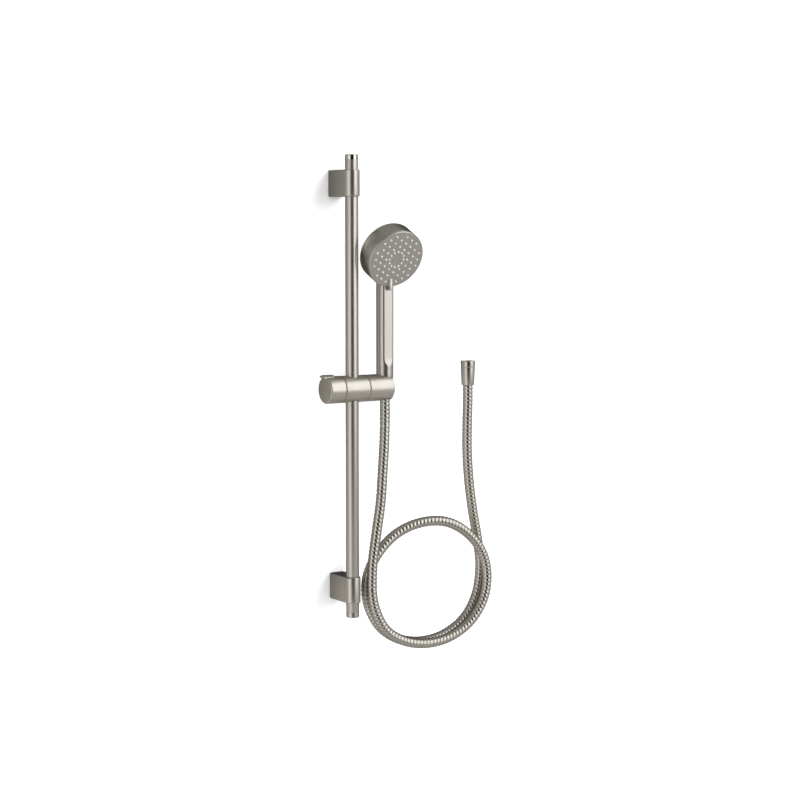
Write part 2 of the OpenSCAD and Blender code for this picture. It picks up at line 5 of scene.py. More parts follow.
import bmesh
import bpy
from mathutils import Matrix, Vector
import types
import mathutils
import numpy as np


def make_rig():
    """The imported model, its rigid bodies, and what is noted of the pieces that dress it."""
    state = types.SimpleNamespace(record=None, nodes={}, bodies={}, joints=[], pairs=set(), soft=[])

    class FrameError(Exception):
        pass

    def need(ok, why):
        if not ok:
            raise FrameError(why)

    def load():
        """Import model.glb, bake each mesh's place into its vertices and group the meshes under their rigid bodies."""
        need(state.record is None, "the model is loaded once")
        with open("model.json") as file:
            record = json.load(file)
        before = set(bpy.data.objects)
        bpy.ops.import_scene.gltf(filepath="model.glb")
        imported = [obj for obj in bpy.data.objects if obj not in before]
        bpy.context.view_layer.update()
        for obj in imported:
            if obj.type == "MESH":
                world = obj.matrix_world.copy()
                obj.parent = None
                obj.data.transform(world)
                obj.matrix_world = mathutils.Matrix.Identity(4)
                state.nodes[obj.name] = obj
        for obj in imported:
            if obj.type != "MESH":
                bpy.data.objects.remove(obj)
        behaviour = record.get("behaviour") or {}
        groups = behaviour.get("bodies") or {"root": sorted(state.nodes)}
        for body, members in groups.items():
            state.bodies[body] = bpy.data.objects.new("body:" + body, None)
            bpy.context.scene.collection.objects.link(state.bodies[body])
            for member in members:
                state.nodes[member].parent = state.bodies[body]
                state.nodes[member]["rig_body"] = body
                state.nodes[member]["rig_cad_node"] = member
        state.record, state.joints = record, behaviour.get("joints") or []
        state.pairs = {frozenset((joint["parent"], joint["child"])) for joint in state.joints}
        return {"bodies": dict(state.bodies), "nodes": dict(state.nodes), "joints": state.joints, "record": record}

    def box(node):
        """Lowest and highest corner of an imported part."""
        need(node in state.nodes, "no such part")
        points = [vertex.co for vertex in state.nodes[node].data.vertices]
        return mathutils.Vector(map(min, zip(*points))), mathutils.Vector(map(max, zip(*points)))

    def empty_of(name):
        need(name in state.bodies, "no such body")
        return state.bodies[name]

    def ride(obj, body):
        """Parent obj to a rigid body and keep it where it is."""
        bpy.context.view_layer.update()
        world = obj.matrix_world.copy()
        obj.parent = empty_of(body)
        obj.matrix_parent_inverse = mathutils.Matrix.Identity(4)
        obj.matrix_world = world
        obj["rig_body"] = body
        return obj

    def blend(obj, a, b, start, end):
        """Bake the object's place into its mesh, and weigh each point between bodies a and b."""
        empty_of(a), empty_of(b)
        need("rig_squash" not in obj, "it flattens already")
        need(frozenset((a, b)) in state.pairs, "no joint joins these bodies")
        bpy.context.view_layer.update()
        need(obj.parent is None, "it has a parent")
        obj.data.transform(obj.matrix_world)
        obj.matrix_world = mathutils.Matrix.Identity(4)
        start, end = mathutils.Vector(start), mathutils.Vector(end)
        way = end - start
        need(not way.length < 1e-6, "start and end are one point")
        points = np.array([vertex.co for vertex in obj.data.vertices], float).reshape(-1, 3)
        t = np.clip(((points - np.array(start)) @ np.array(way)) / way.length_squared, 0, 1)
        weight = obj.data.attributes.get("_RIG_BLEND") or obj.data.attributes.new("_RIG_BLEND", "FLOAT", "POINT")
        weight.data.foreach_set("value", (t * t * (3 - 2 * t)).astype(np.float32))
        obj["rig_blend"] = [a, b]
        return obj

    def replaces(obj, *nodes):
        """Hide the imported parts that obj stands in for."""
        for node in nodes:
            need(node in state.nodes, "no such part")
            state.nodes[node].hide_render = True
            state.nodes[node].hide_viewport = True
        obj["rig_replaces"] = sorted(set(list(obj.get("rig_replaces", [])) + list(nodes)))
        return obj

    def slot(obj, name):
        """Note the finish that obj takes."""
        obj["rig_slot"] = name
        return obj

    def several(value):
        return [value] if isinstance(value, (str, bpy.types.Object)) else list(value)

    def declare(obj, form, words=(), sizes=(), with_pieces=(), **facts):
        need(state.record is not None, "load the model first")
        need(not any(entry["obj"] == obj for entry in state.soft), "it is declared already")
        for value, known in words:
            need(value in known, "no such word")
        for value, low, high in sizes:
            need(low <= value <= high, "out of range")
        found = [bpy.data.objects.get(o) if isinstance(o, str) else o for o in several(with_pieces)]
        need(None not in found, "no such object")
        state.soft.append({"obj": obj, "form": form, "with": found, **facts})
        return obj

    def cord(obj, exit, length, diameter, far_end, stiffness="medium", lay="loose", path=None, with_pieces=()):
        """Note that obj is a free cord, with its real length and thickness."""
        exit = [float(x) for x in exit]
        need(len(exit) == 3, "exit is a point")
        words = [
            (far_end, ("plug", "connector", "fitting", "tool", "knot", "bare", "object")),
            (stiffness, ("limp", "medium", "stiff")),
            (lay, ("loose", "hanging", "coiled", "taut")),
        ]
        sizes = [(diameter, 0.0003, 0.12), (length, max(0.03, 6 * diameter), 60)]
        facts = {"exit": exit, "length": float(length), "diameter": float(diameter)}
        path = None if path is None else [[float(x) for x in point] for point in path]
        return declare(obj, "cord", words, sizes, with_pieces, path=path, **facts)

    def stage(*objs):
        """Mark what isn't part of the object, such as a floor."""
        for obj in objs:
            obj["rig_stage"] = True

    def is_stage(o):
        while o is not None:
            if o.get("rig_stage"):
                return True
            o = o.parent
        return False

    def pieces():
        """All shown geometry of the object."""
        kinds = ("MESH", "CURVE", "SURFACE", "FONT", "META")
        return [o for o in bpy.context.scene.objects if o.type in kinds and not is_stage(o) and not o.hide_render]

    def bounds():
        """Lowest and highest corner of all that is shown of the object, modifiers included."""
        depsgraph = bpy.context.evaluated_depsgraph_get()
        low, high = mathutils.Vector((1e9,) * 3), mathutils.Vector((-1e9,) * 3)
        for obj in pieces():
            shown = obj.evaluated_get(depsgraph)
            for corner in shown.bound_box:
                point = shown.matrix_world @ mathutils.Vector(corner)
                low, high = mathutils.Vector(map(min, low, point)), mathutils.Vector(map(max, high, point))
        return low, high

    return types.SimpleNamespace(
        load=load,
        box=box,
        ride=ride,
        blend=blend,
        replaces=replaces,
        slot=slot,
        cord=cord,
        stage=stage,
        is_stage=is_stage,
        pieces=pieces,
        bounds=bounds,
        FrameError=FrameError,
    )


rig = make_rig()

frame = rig.load()
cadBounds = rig.bounds()
nodes = frame["nodes"]
scene = bpy.context.scene
mm = 0.001

camera = {
    "lens": 79.25, "sensor": 36.0, "near": 0.05,
    "azimuth": -33.0, "elevation": 5.4,               # degrees; azimuth 0 is the room side and 90 is +x
    "distance": 2.640,
    "target": (0.0605, -0.0866, 0.2863),
}


def addCamera(s):
    az, el = radians(s["azimuth"]), radians(s["elevation"])
    away = Vector((sin(az) * cos(el), -cos(az) * cos(el), sin(el)))
    data = bpy.data.cameras.new("camera")
    data.lens = s["lens"]
    data.sensor_width = s["sensor"]
    data.clip_start = s["near"]
    obj = bpy.data.objects.new("camera", data)
    obj.location = Vector(s["target"]) + away * s["distance"]
    obj.rotation_euler = (-away).to_track_quat("-Z", "Y").to_euler()
    scene.collection.objects.link(obj)
    scene.camera = obj


addCamera(camera)
print("camera placed")


def newTree(material):
    material.use_nodes = True
    tree = material.node_tree
    tree.nodes.clear()
    return tree


def addNode(tree, kind, inputs=None, **props):
    node = tree.nodes.new(kind)
    for key, value in props.items():
        setattr(node, key, value)
    for key, value in (inputs or {}).items():
        if isinstance(value, bpy.types.NodeSocket):
            tree.links.new(value, node.inputs[key])
        else:
            node.inputs[key].default_value = value
    return node


def addMath(tree, operation, a, b=0.0, c=0.0):
    return addNode(tree, "ShaderNodeMath", {0: a, 1: b, 2: c}, operation=operation).outputs[0]


def addRange(tree, value, low, high, start=0.0, end=1.0, kind="SMOOTHSTEP"):
    return addNode(tree, "ShaderNodeMapRange", {0: value, 1: low, 2: high, 3: start, 4: end},
                   interpolation_type=kind).outputs[0]


def addNoise(tree, place, scale, detail, roughness=0.5):
    return addNode(tree, "ShaderNodeTexNoise",
                   {"Vector": place, "Scale": scale, "Detail": detail, "Roughness": roughness}).outputs[0]


# The studio that the metal reflects: each panel is a soft-edged patch of the sky, in degrees, and later ones
# cover earlier ones. Azimuth 0 is the room side (-y) and 90 is +x.
studio = {
    "backdrop": 1.0,            # behind everything, as the camera sees it
    "fill": 1.00,               # light from all round
    "key": 2.4,                 # light from the upper right, whose shadows are those of the brackets
    "keySize": 46,
    "keyWay": (-0.62, 0.64, -0.46),
    "floorZ": -0.62,
    "wallY": 0.0006,            # just behind the brackets, which end at y = 0
    "stage": (6, 8, 5),         # half width, depth towards the room, height of the wall
    "paint": 0.92,
    "room": (0.23, 0.03),       # brightness and warmth where no panel is
    "panels": [                 # azimuth, half width, edge, elevation, half height, edge, brightness, warmth
        (0, 181, 1, -60, 50, 7, 0.42, 0.02),        # pale floor
        (0, 181, 1, 80, 32, 8, 0.28, 0.02),         # ceiling
        (-150, 32, 14, -27, 17, 6, 0.62, 0.02),     # light that spills past the soft boxes
        (-110, 32, 22, -2, 30, 12, 0.40, 0.02),
        (84, 26, 14, 4, 24, 10, 0.42, 0.02),
        (-71, 22, 8, -6, 34, 10, 0.96, 0.01),       # soft box on the left
        (30, 21, 6, 21, 30, 7, 1.42, 0.00),         # big soft box on the right
        (52, 26, 8, 37, 17, 7, 1.42, 0.00),
        (-23, 27, 4, 8, 28, 5, 0.008, 0.2),         # dark flags
        (147, 34, 12, 15, 21, 7, 0.05, 0.05),
        (178, 24, 12, -14, 12, 6, 0.06, 0.05),
    ],
}


def grey(v, warmth=0.0):
    return (v * (1 + warmth), v, v * (1 - 2 * warmth), 1)


def buildWorld(s):
    world = bpy.data.worlds.new("studio")
    scene.world = world
    tree = newTree(world)
    way = addNode(tree, "ShaderNodeTexCoord").outputs["Generated"]
    x, y, z = addNode(tree, "ShaderNodeSeparateXYZ", {0: way}).outputs
    turn = addMath(tree, "DEGREES", addMath(tree, "ARCTAN2", x, addMath(tree, "MULTIPLY", y, -1.0)))
    rise = addMath(tree, "DEGREES", addMath(tree, "ARCSINE", z))
    colour = grey(*s["room"])
    for az, halfWidth, edge, el, halfHeight, rim, brightness, warmth in s["panels"]:
        aside = addMath(tree, "WRAP", addMath(tree, "SUBTRACT", turn, az), 180.0, -180.0)
        aside = addMath(tree, "ABSOLUTE", aside)
        above = addMath(tree, "ABSOLUTE", addMath(tree, "SUBTRACT", rise, el))
        patch = addMath(tree, "MULTIPLY", addRange(tree, aside, halfWidth - edge, halfWidth + edge, 1.0, 0.0),
                        addRange(tree, above, halfHeight - rim, halfHeight + rim, 1.0, 0.0))
        colour = addNode(tree, "ShaderNodeMix", {0: patch, 6: colour, 7: grey(brightness, warmth)},
                         data_type="RGBA").outputs[2]
    shiny = addNode(tree, "ShaderNodeBackground", {0: colour, 1: 1.0}).outputs[0]
    soft = addNode(tree, "ShaderNodeBackground", {0: grey(1.0), 1: s["fill"]}).outputs[0]
    seen = addNode(tree, "ShaderNodeBackground", {0: grey(1.0), 1: s["backdrop"]}).outputs[0]
    path = addNode(tree, "ShaderNodeLightPath").outputs
    mix = addNode(tree, "ShaderNodeMixShader", {0: path["Is Glossy Ray"], 1: soft, 2: shiny}).outputs[0]
    mix = addNode(tree, "ShaderNodeMixShader", {0: path["Is Camera Ray"], 1: mix, 2: seen}).outputs[0]
    addNode(tree, "ShaderNodeOutputWorld", {0: mix})


def buildStage(s):
    material = bpy.data.materials.new("paleStage")
    tree = newTree(material)
    paint = addNode(tree, "ShaderNodeBsdfPrincipled",
                    {"Base Color": grey(s["paint"]), "Roughness": 0.9, "Specular IOR Level": 0.0}).outputs[0]
    clear = addNode(tree, "ShaderNodeBsdfTransparent").outputs[0]
    back = addNode(tree, "ShaderNodeNewGeometry").outputs["Backfacing"]         # seen from behind it is clear
    mix = addNode(tree, "ShaderNodeMixShader", {0: back, 1: paint, 2: clear}).outputs[0]
    addNode(tree, "ShaderNodeOutputMaterial", {0: mix})
    y, z = s["wallY"], s["floorZ"]
    wide, deep, high = s["stage"]
    for name, corners in (
        ("wall", [(-wide, y, z), (wide, y, z), (wide, y, high), (-wide, y, high)]),
        ("floor", [(-wide, -deep, z), (wide, -deep, z), (wide, y, z), (-wide, y, z)]),
    ):
        mesh = bpy.data.meshes.new(name)
        mesh.from_pydata(corners, [], [(0, 1, 2, 3)])
        mesh.materials.append(material)
        obj = bpy.data.objects.new(name, mesh)
        scene.collection.objects.link(obj)
        obj.visible_glossy = False
        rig.stage(obj)


def addKey(s):
    data = bpy.data.lights.new("key", "SUN")
    data.energy = s["key"]
    data.angle = radians(s["keySize"])
    data.specular_factor = 0.0
    obj = bpy.data.objects.new("key", data)
    obj.rotation_euler = Vector(s["keyWay"]).to_track_quat("-Z", "Y").to_euler()
    scene.collection.objects.link(obj)
    obj.visible_glossy = False
    blockers = bpy.data.collections.new("keyBlockers")
    obj.light_linking.blocker_collection = blockers
    return blockers


buildWorld(studio)
buildStage(studio)
blockers = addKey(studio)
scene.view_settings.view_transform = "Standard"
print("studio built")


def addTone(tree, pattern, colour, shade):            # a shade of the colour where the pattern is low
    dark = [shade * c for c in colour]
    return addNode(tree, "ShaderNodeMix", {0: pattern, 6: (*dark, 1), 7: (*colour, 1)},
                   data_type="RGBA").outputs[2]


def addRelief(tree, height, strength):
    return addNode(tree, "ShaderNodeBump",
                   {"Height": height, "Strength": strength, "Distance": 0.1 * mm}).outputs[0]


# the last entry is the span in y, from the wall outwards, over which the painted shade near the wall fades out
plating = {"mist": 55.0, "detail": 3.0, "fineness": 0.65, "shade": 0.96, "paintedShadeY": (-0.036, -0.001)}


# Plated metal: fine brushing stretched along one direction, a little cloudiness in the gloss, and where asked a
# painted shade that darkens it close to the wall.
def metal(name, colour, roughness, grain, stretch, bump, cloud=0.04, paintedShade=1.0, rimTint=0.7):
    material = bpy.data.materials.new(name)
    tree = newTree(material)
    place = addNode(tree, "ShaderNodeTexCoord").outputs["Object"]
    drawn = addNode(tree, "ShaderNodeMapping", {"Vector": place, "Scale": stretch}).outputs[0]
    lines = addNoise(tree, drawn, grain, plating["detail"], plating["fineness"])
    mist = addNoise(tree, place, plating["mist"], plating["detail"])
    half = cloud / 2
    fine = addRange(tree, lines, 0.3, 0.7, roughness - half, roughness + half, "LINEAR")
    gloss = addMath(tree, "ADD", fine, addRange(tree, mist, 0.35, 0.65, -half, half, "LINEAR"))
    tone = addTone(tree, mist, colour, plating["shade"])
    # painted shade: the colour darkens close to the wall, standing in for the shade the wall casts on the brackets
    if paintedShade < 1:                                      # darker close to the wall
        y = addNode(tree, "ShaderNodeSeparateXYZ", {0: place}).outputs[1]
        near = addRange(tree, y, *plating["paintedShadeY"], 1.0, paintedShade, "LINEAR")
        tone = addNode(tree, "ShaderNodeVectorMath", {0: tone, "Scale": near}, operation="SCALE").outputs[0]
    relief = addRelief(tree, lines, bump)
    shader = addNode(tree, "ShaderNodeBsdfPrincipled",
                     {"Base Color": tone, "Metallic": 1.0, "Roughness": gloss, "Normal": relief,
                      "Specular Tint": grey(rimTint)})
    addNode(tree, "ShaderNodeOutputMaterial", {0: shader.outputs[0]})
    return material


mould = {"mottle": 120.0, "detail": 2.0, "shade": 0.9, "swing": 0.05}


# Moulded plastic, rubber and silicone: a faint mottle and the fine skin of the mould.
def moulded(name, colour, roughness, skin, bump, level=0.5):
    material = bpy.data.materials.new(name)
    tree = newTree(material)
    place = addNode(tree, "ShaderNodeTexCoord").outputs["Object"]
    grain = addNoise(tree, place, skin, mould["detail"])
    mottle = addNoise(tree, place, mould["mottle"], mould["detail"])
    tone = addTone(tree, mottle, colour, mould["shade"])
    gloss = addRange(tree, grain, 0.3, 0.7, roughness - mould["swing"], roughness + mould["swing"])
    relief = addRelief(tree, grain, bump)
    shader = addNode(tree, "ShaderNodeBsdfPrincipled",
                     {"Base Color": tone, "Roughness": gloss, "Specular IOR Level": level, "Normal": relief})
    addNode(tree, "ShaderNodeOutputMaterial", {0: shader.outputs[0]})
    return material


# colour, roughness, grain to the metre, stretch of the grain, depth of the grain
nickelTint = (0.72, 0.69, 0.63)
barNickel = metal("barNickel", nickelTint, 0.33, 1500, (1, 1, 0.01), 0.06)
sliderNickel = metal("sliderNickel", nickelTint, 0.32, 1500, (1, 0.03, 0.03), 0.10)
# the brackets' metal, with painted shade that darkens it towards the wall
castNickel = metal("castNickel", nickelTint, 0.33, 1400, (1, 1, 1), 0.10, paintedShade=0.62)
shellNickel = metal("shellNickel", (0.66, 0.63, 0.575), 0.31, 1400, (1, 1, 0.05), 0.03)
nutNickel = metal("nutNickel", nickelTint, 0.29, 1500, (0.05, 0.05, 1), 0.06)
capNickel = metal("capNickel", nickelTint, 0.26, 1500, (1, 1, 1), 0.05)
polishedNickel = metal("polishedNickel", (0.80, 0.78, 0.73), 0.05, 900, (1, 1, 1), 0.01, 0.02)
hoseSteel = metal("hoseSteel", (0.68, 0.65, 0.59), 0.23, 1500, (1, 1, 1), 0.04, rimTint=0.3)
facePlate = metal("facePlate", (0.70, 0.67, 0.635), 0.34, 1700, (1, 1, 1), 0.35, 0.12)
zincAlloy = metal("zincAlloy", (0.55, 0.56, 0.57), 0.42, 700, (1, 1, 1), 0.30, 0.10)
plainSteel = metal("plainSteel", (0.52, 0.52, 0.52), 0.28, 900, (1, 1, 1), 0.15)
turnedBrass = metal("turnedBrass", (0.80, 0.62, 0.30), 0.22, 1500, (0.05, 0.05, 1), 0.12)
silicone = moulded("paleSilicone", (0.64, 0.62, 0.59), 0.42, 1600, 0.15)
darkNylon = moulded("darkNylon", (0.10, 0.10, 0.10), 0.45, 1400, 0.20)
rubber = moulded("blackRubber", (0.03, 0.03, 0.03), 0.65, 1200, 0.25, 0.35)
print("materials made")

# Axes of the object, from the joints and the solids.
jointAt = {j["name"]: Vector(j["pos_m"]) for j in frame["record"]["behaviour"]["joints"] if "pos_m" in j}


def spanOf(node):
    low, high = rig.box(node)
    return Vector(low), Vector(high)


barLow, barHigh = spanOf("slide_bar")
holderLow, holderHigh = spanOf("holder_body")
barY = (barLow.y + barHigh.y) / 2
barR = (barHigh.x - barLow.x) / 2
sliderZ = (holderLow.z + holderHigh.z) / 2
sliderR = (holderHigh.z - holderLow.z) / 2
armX = jointAt["handset_turn"].x
faceAt = jointAt["spray_select"]
faceTilt = radians(26)
onBar = Matrix.Translation((0, barY, 0))
onSlider = Matrix.Translation((0, barY, sliderZ)) @ Matrix.Rotation(pi / 2, 4, "Y")
onHandset = Matrix.Translation((armX, barY, sliderZ))
onFace = Matrix.Translation(faceAt) @ Matrix.Rotation(pi / 2 + faceTilt, 4, "X")
past = 1.0              # millimetres by which a cutter stands out of what it cuts


def rod(r, low, high):                                # section of a plain rod
    return [(0, low), (r, low), (r, high), (0, high)]


# corners (radius, height[, rounding]) in millimetres, with an arc at each rounded one
def rounded(corners, steps=5):
    line = []
    for i, corner in enumerate(corners):
        p = Vector(corner[:2])
        size = corner[2] if len(corner) > 2 else 0
        if not size:
            line.append(p)
            continue
        a = (Vector(corners[i - 1][:2]) - p).normalized()
        b = (Vector(corners[(i + 1) % len(corners)][:2]) - p).normalized()
        half = a.angle(b) / 2
        middle = p + (a + b).normalized() * (size / sin(half))
        start, end = p + a * (size / tan(half)) - middle, p + b * (size / tan(half)) - middle
        first = atan2(start.y, start.x)
        sweep = (atan2(end.y, end.x) - first + pi) % (2 * pi) - pi
        line += [middle + size * Vector((cos(first + sweep * k / steps), sin(first + sweep * k / steps)))
                 for k in range(steps + 1)]
    return line


def meshObject(name, verts, faces):
    mesh = bpy.data.meshes.new(name)
    mesh.from_pydata(verts, [], faces)
    obj = bpy.data.objects.new(name, mesh)
    scene.collection.objects.link(obj)
    form = bmesh.new()
    form.from_mesh(mesh)
    bmesh.ops.remove_doubles(form, verts=form.verts, dist=1e-7)
    bmesh.ops.recalc_face_normals(form, faces=form.faces)
    form.to_mesh(mesh)
    form.free()
    return obj


# a turned solid: the section runs from axis to axis, or is closed where it never meets the axis
def turned(name, section, matrix, sides=96):
    verts, faces, rings = [], [], []
    turns = [2 * pi * k / sides for k in range(sides)]
    for r, z in section:
        if r < 1e-4:                                  # on the axis, one point
            rings.append([len(verts)])
            verts.append(matrix @ Vector((0, 0, z * mm)))
        else:
            rings.append(list(range(len(verts), len(verts) + sides)))
            verts += [matrix @ Vector((r * mm * cos(a), r * mm * sin(a), z * mm)) for a in turns]
    if len(rings[0]) > 1:
        rings.append(rings[0])
    for low, high in zip(rings, rings[1:]):
        for k in range(sides):
            n = (k + 1) % sides
            if len(low) == 1 and len(high) > 1:
                faces.append((low[0], high[n], high[k]))
            elif len(high) == 1 and len(low) > 1:
                faces.append((low[k], low[n], high[0]))
            elif len(low) > 1:
                faces.append((low[k], low[n], high[n], high[k]))
    return meshObject(name, verts, faces)


# loops of points, each joined to the next, with flat ends
def lofted(name, loops, matrix):
    count = len(loops[0])
    verts = [matrix @ (Vector(p) * mm) for loop in loops for p in loop]
    faces = [tuple(range(count)), tuple(range(len(verts) - count, len(verts)))]
    for i in range(len(loops) - 1):
        for k in range(count):
            n = (k + 1) % count
            faces.append((i * count + k, i * count + n, (i + 1) * count + n, (i + 1) * count + k))
    return meshObject(name, verts, faces)


def applied(obj):
    view = bpy.context.evaluated_depsgraph_get()
    mesh = bpy.data.meshes.new_from_object(obj.evaluated_get(view))
    name = obj.name
    bpy.data.objects.remove(obj)
    mesh.name = name
    made = bpy.data.objects.new(name, mesh)
    scene.collection.objects.link(made)
    return made


def combine(obj, other, operation="DIFFERENCE"):
    modifier = obj.modifiers.new("combine", "BOOLEAN")
    modifier.operation = operation
    modifier.solver = "EXACT"
    modifier.object = other
    made = applied(obj)
    bpy.data.objects.remove(other)
    return made


def softened(obj, width, angle=35, segments=3):
    modifier = obj.modifiers.new("edges", "BEVEL")
    modifier.width = width * mm
    modifier.segments = segments
    modifier.limit_method = "ANGLE"
    modifier.angle_limit = radians(angle)
    modifier.use_clamp_overlap = False
    modifier.harden_normals = False
    return applied(obj)


# the last step for a piece: shading, material, and its place in the frame
def finishPiece(obj, material, body, slotName, *replaced, crease=32):
    mesh = obj.data
    mesh.materials.clear()
    mesh.materials.append(material)
    for face in mesh.polygons:
        face.material_index = 0
    mesh.shade_smooth()
    mesh.set_sharp_from_angle(angle=radians(crease))
    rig.ride(obj, body)
    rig.replaces(obj, *replaced)
    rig.slot(obj, slotName)
    print(obj.name, len(mesh.polygons), "faces")


# ribbed hose: each span of it bends between the two bodies that it joins
hose = {
    "diameter": 0.0155,
    "pitch": 0.0062,          # from rib to rib
    "depth": 0.0010,          # of the groove between ribs
    "crown": 0.44,            # lower is flatter on top with a narrower groove
    "ringsPerRib": 10,
    "sides": 28,
    "route": [                # sideways, in front of the bar's axis, height
        (58, 0, 287), (58, 0, 258), (55, 3, 219), (50, 6, 175), (45, 8, 129), (37, 8, 80),
        (30, 8, 28), (32, 8, -22), (52, 8, -64), (85, 8, -87), (127, 8, -97), (171, 8, -93), (210, 8, -74),
        (236, 8, -42), (244, 8, -3), (234, 8, 36), (206, 7, 69), (169, 3, 89), (127, -3, 91), (87, -8, 78),
        (54, -8, 53), (32, -8, 18), (31, -8, -22), (51, -8, -62), (85, -8, -87), (127, -8, -97),
        (171, -8, -92), (210, -8, -71), (234, -8, -36), (242, -8, 8), (237, -8, 52), (227, -7, 98),
        (218, -5, 147), (212, -2, 196), (210.5, 0, 241), (211.4, 0, 272), (211.4, 0, 300.5),
    ],
    "perSpan": 12,
    "stops": [0.247, 0.147, 0.001],       # heights where one stretch hands over to the next
    "joints": [("hose_end", "holder"), ("holder", "slider"), ("slider", "sleeve"), ("sleeve", "rail")],
    "bends": [((0.058, 0.286), (0.058, 0.249)), ((0.057, 0.245), (0.053, 0.158)),
              ((0.047, 0.145), (0.034, 0.002)), ((0.033, 0), (0.209, 0))],
    # pieces on each stretch; the first stretch is too short to be a cord, so it goes with the second
    "onIt": [None, ["hose_1"], [], ["supply_nut_plated", "supply_tail", "supply_washer"]],
}


def hoseLine(s):
    p = [Vector((a * mm, barY - b * mm, c * mm)) for a, b, c in s["route"]]
    line = []
    for i in range(len(p) - 1):
        before = p[i - 1] if i else p[0] + Vector((0, 0, (p[0] - p[1]).length))
        after = p[i + 2] if i + 2 < len(p) else p[-1] + Vector((0, 0, (p[-1] - p[-2]).length))
        for k in range(s["perSpan"]):
            t = k / s["perSpan"]
            line.append(0.5 * (2 * p[i] + (p[i + 1] - before) * t
                               + (2 * before - 5 * p[i] + 4 * p[i + 1] - after) * t * t
                               + (3 * (p[i] - p[i + 1]) + after - before) * t ** 3))
    return line + [p[-1]]


def lengthOf(line):
    return sum((b - a).length for a, b in zip(line, line[1:]))


def newGeometryTree(name, sockets):
    tree = bpy.data.node_groups.new(name, "GeometryNodeTree")
    face = tree.interface
    face.new_socket("Geometry", in_out="INPUT", socket_type="NodeSocketGeometry")
    for label, kind in sockets:
        face.new_socket(label, in_out="INPUT", socket_type="NodeSocket" + kind)
    face.new_socket("Geometry", in_out="OUTPUT", socket_type="NodeSocketGeometry")
    return tree, addNode(tree, "NodeGroupInput").outputs


def endTree(tree, geometry, material):
    real = addNode(tree, "GeometryNodeRealizeInstances", {"Geometry": geometry})
    done = addNode(tree, "GeometryNodeSetMaterial", {"Geometry": real.outputs[0], "Material": material})
    addNode(tree, "NodeGroupOutput", {0: done.outputs[0]})


def ribTree():
    tree, given = newGeometryTree("ribbedHose", (
        ("Radius", "Float"), ("Pitch", "Float"), ("Depth", "Float"), ("Crown", "Float"), ("Start", "Float"),
        ("Rings", "Int"), ("Sides", "Int"), ("Material", "Material")))
    place = addNode(tree, "GeometryNodeSplineParameter").outputs
    rings = addNode(tree, "GeometryNodeResampleCurve", {"Curve": given["Geometry"], "Count": given["Rings"]})
    circle = addNode(tree, "GeometryNodeCurvePrimitiveCircle",
                     {"Resolution": given["Sides"], "Radius": given["Radius"]})
    spine, section = (addNode(tree, "GeometryNodeStoreNamedAttribute",
                              {"Geometry": curve.outputs[0], "Name": label, "Value": place[value]},
                              data_type="FLOAT").outputs[0]
                      for curve, label, value in ((rings, "along", "Length"), (circle, "around", "Factor")))
    tube = addNode(tree, "GeometryNodeCurveToMesh",
                   {"Curve": spine, "Profile Curve": section, "Fill Caps": True})
    along, around = (addNode(tree, "GeometryNodeInputNamedAttribute", {"Name": label},
                             data_type="FLOAT").outputs[0] for label in ("along", "around"))
    way = addMath(tree, "DIVIDE", addMath(tree, "ADD", along, given["Start"]), given["Pitch"])
    phase = addMath(tree, "FRACT", addMath(tree, "ADD", way, around))
    arch = addMath(tree, "SINE", addMath(tree, "MULTIPLY", phase, pi))
    crown = addMath(tree, "POWER", arch, given["Crown"])
    sink = addMath(tree, "MULTIPLY", addMath(tree, "SUBTRACT", crown, 1.0), given["Depth"])
    normal = addNode(tree, "GeometryNodeInputNormal").outputs[0]
    push = addNode(tree, "ShaderNodeVectorMath", {0: normal, "Scale": sink}, operation="SCALE").outputs[0]
    shaped = addNode(tree, "GeometryNodeSetPosition", {"Geometry": tube.outputs[0], "Offset": push})
    smooth = addNode(tree, "GeometryNodeSetShadeSmooth", {"Geometry": shaped.outputs[0]})
    endTree(tree, smooth.outputs[0], given["Material"])
    return tree


def applyTree(obj, tree, values):
    modifier = obj.modifiers.new("nodes", "NODES")
    modifier.node_group = tree
    for item in tree.interface.items_tree:
        if item.item_type == "SOCKET" and item.in_out == "INPUT" and item.name in values:
            modifier[item.identifier] = values[item.name]
    obj.data.update_tag()
    return applied(obj)


def curveObject(name, line):
    data = bpy.data.curves.new(name, "CURVE")
    data.dimensions = "3D"
    spline = data.splines.new("POLY")
    spline.points.add(len(line) - 1)
    for point, place in zip(spline.points, line):
        point.co = (*place, 1)
    obj = bpy.data.objects.new(name, data)
    scene.collection.objects.link(obj)
    return obj


def buildHose(s):
    line = hoseLine(s)
    print("hose length", round(lengthOf(line), 3))
    tree = ribTree()
    cuts = [0] + [next(i for i, p in enumerate(line) if p.z < z) for z in s["stops"]] + [len(line) - 1]
    start = 0.0
    for k, (a, b) in enumerate(zip(cuts, cuts[1:])):
        part = line[a:b + 1]
        length = lengthOf(part)
        obj = applyTree(curveObject("hose_%d" % (k + 1), part), tree, {
            "Radius": s["diameter"] / 2,
            "Pitch": s["pitch"],
            "Depth": s["depth"],
            "Crown": s["crown"],
            "Start": start,
            "Rings": int(length / s["pitch"] * s["ringsPerRib"]) + 1,
            "Sides": s["sides"],
            "Material": hoseSteel,
        })
        start += length
        if s["onIt"][k] is not None:
            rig.cord(obj, exit=part[0], length=round(length, 3), diameter=s["diameter"], path=part,
                    far_end="fitting" if k == len(s["stops"]) else "object", stiffness="medium",
                    lay="hanging", with_pieces=s["onIt"][k])
        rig.blend(obj, *s["joints"][k], *((x, barY, z) for x, z in s["bends"][k]))
        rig.replaces(obj, "hose_casing")
        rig.slot(obj, "hose_steel")
        print(obj.name, len(obj.data.polygons), "faces")


# bar with its two caps; heights are from the tube's ends
bar = {
    "wall": 1.2, "edge": 0.25, "edgeSteps": 2,
    "cap": 8.0, "capEdge": 1.3,
    "plug": 12.0, "play": 0.05, "taper": 1.0,         # the cap's plug in the tube, with room round it
    "barbs": 3, "barb": 0.5, "barbFrom": 1.5, "barbTo": 4.0, "barbStep": 3.5,
}


